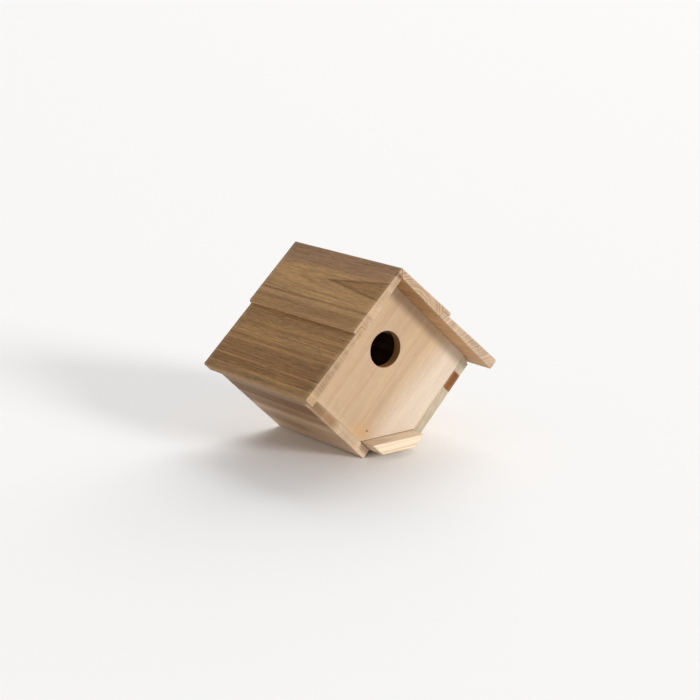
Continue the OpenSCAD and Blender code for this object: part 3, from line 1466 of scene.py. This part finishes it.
class Woods:
    """The cedar of each board, chosen for this house."""

    # Plain-sawn board: the rings break out of the face in one arrow
    UPPER_LEFT = CedarFinish(
        early="#be9260", late="#8f6640", end_tint="#b9a086", ring=2.8, pith=(25.5, 10.5), lean=4.4,
        waver=0.7, ring_contrast=0.4, end_contrast=0.2, fibre_contrast=2.1, tone_contrast=1.1, seed=1.0,
        arrow=Arrow(tip=-2.0, centre=25.6, widening=0.119, drift=0.0186),
        zones=(Zone(-9.0, 17.0, "#a07a5a", 0.75, 1.0, 6.0), Zone(51.0, 70.0, "#a3794c", 0.8, 1.5, 1.0),
               Zone(-60.0, 0.2, "#a97d4a", 0.9, 0.3, 0.8, on_end=0.0, along=Field.ARROW),
               Zone(-1.3, 0.5, "#835a2e", 0.6, 1.8, 1.0, on_end=0.0, along=Field.ARROW),
               Zone(45.0, 46.8, "#966b42", 0.8, 1.4, 0.8), Zone(47.8, 50.2, "#caa272", 0.25)),
        spots=(Spot((-71.0, 6.0), 1.9, "#6b3a1c"),))
    # Rift-sawn board: straight, tight lines
    LOWER_LEFT = CedarFinish(
        early="#b68955", late="#7e552c", end_tint="#b59b7d", ring=2.0, pith=(-60.0, -26.0),
        waver=0.5, ring_contrast=0.6, end_contrast=0.35, fibre_contrast=2.4, tone_contrast=0.8, seed=2.0,
        # Painted shade: the first band, just below the upper board's butt, stands in for the shadow that
        # the butt casts
        zones=(Zone(60.0, 65.0, "#8f6335", 0.45), Zone(77.0, 80.0, "#8b6033", 0.5),
               Zone(84.0, 87.0, "#bb9160", 0.4),
               Zone(90.0, 93.0, "#8f6335", 0.5), Zone(95.0, 110.0, "#81582d", 0.5, 4.0, 4.0),
               Zone(111.0, 118.5, "#6d491a", 0.55, 2.0, 1.5), Zone(119.5, 130.0, "#8f6d45", 0.5)))
    UPPER_RIGHT = CedarFinish(
        early="#b98f63", late="#7f5335", end_tint="#bba388", ring=2.2, pith=(30.0, 24.0), lean=1.2,
        waver=1.0, ring_contrast=0.65, end_contrast=0.95, fibre_contrast=1.1, tone_contrast=0.9, seed=3.0)
    LOWER_RIGHT = CedarFinish(
        early="#c8a178", late="#875c39", end_tint="#bda892", ring=2.0, pith=(150.0, 30.0),
        waver=1.0, ring_contrast=0.6, end_contrast=0.95, fibre_contrast=1.1, tone_contrast=0.9, seed=4.0)
    # The walls' stick has a brown heartwood band with a sharp upper edge
    LEFT_WALL = CedarFinish(
        early="#c8a787", late="#967657", end_tint="#c0a589", ring=2.4, pith=(70.0, -40.0),
        waver=0.8, ring_contrast=0.45, end_contrast=0.7, fibre_contrast=0.9, tone_contrast=0.7, seed=5.0,
        # Painted shade: the first band darkens the top of the wall, next to the roof
        zones=(Zone(0.0, 19.5, "#856d55", 0.9, 1.0, 5.0, on_end=0.75),
               # Painted light: this pale band lightens the bottom of the wall, where light comes up from
               # the floor
               Zone(78.0, 95.0, "#e8ccb0", 0.8, 10.0, 1.0, on_end=0.85),
               Zone(19.5, 36.0, "#714813", 0.87, 5.0, 5.0, on_end=0.78),
               Zone(36.0, 50.0, "#8c6642", 0.82, 5.0, 12.0, on_end=1.0)))
    RIGHT_WALL = CedarFinish(
        early="#bfa98b", late="#9a825f", end_tint="#b8ac98", ring=2.4, pith=(70.0, -40.0),
        waver=1.6, ring_contrast=0.45, end_contrast=0.8, fibre_contrast=1.0, tone_contrast=0.8, seed=6.0,
        zones=(Zone(21.0, 36.6, "#7a4506", 0.96, 1.2, 1.2, on_face=0.6, on_end=1.0),))
    # Broad soft bands, with pale sapwood towards the right wall
    FRONT = CedarFinish(
        early="#bda080", late="#a47f5c", end_tint="#c3a586", ring=7.5, pith=(-46.0, -30.0), lean=-0.6,
        waver=1.6, ring_contrast=0.27, end_contrast=0.6, fibre_contrast=0.5, tone_contrast=0.4, seed=7.0,
        # Painted shade: darkens the wall of the entrance hole and the panel's sides
        painted_side_shade=0.8,
        zones=(Zone(92.0, 140.0, "#d7c6b3", 0.8, 26.0, 1.0, slant=0.07),),
        # Painted light: the wide orange spot stands in for warm light bounced up from the lip; the small
        # dark one is a knot
        spots=(Spot((112.0, 74.0), 12.0, "#cf9a62", 0.5, 0.1), Spot((105.0, 77.5), 0.9, "#6b4634")))
    BACK = CedarFinish(
        early="#c0a07f", late="#a47d59", end_tint="#c3a586", ring=5.5, pith=(50.0, 36.0), lean=1.0,
        waver=2.0, ring_contrast=0.6, end_contrast=0.6, fibre_contrast=1.1, tone_contrast=0.6, seed=8.0,
        # Painted shade: darkens the wall of the screw hole and the panel's sides
        painted_side_shade=0.6)
    # Painted light: these colours are lighter than the other boards' cedar, standing in for the light from
    # above on the lip's top
    FLOOR = CedarFinish(
        early="#ecd7bc", late="#c5a079", end_tint="#dcc5a8", ring=3.2, pith=(8.0, 40.0), lean=0.8,
        waver=0.8, ring_contrast=0.5, end_contrast=0.6, fibre_contrast=0.5, tone_contrast=0.4, seed=9.0)


def main() -> None:
    """Builds the house and the studio around it."""
    logging.basicConfig(level=logging.INFO, format="%(name)s %(message)s")
    shop = Workshop()
    RoofSlope(Side.LEFT, Woods.UPPER_LEFT, Woods.LOWER_LEFT).build(shop)
    RoofSlope(Side.RIGHT, Woods.UPPER_RIGHT, Woods.LOWER_RIGHT).build(shop)
    Walls(Woods.LEFT_WALL, Woods.RIGHT_WALL).build(shop)
    Panels(Woods.FRONT, Woods.BACK).build(shop)
    SlideOutFloor(Woods.FLOOR).build(shop)
    Brads().build()
    Camera().build()
    Studio().build()


if __name__ == "__main__":
    main()
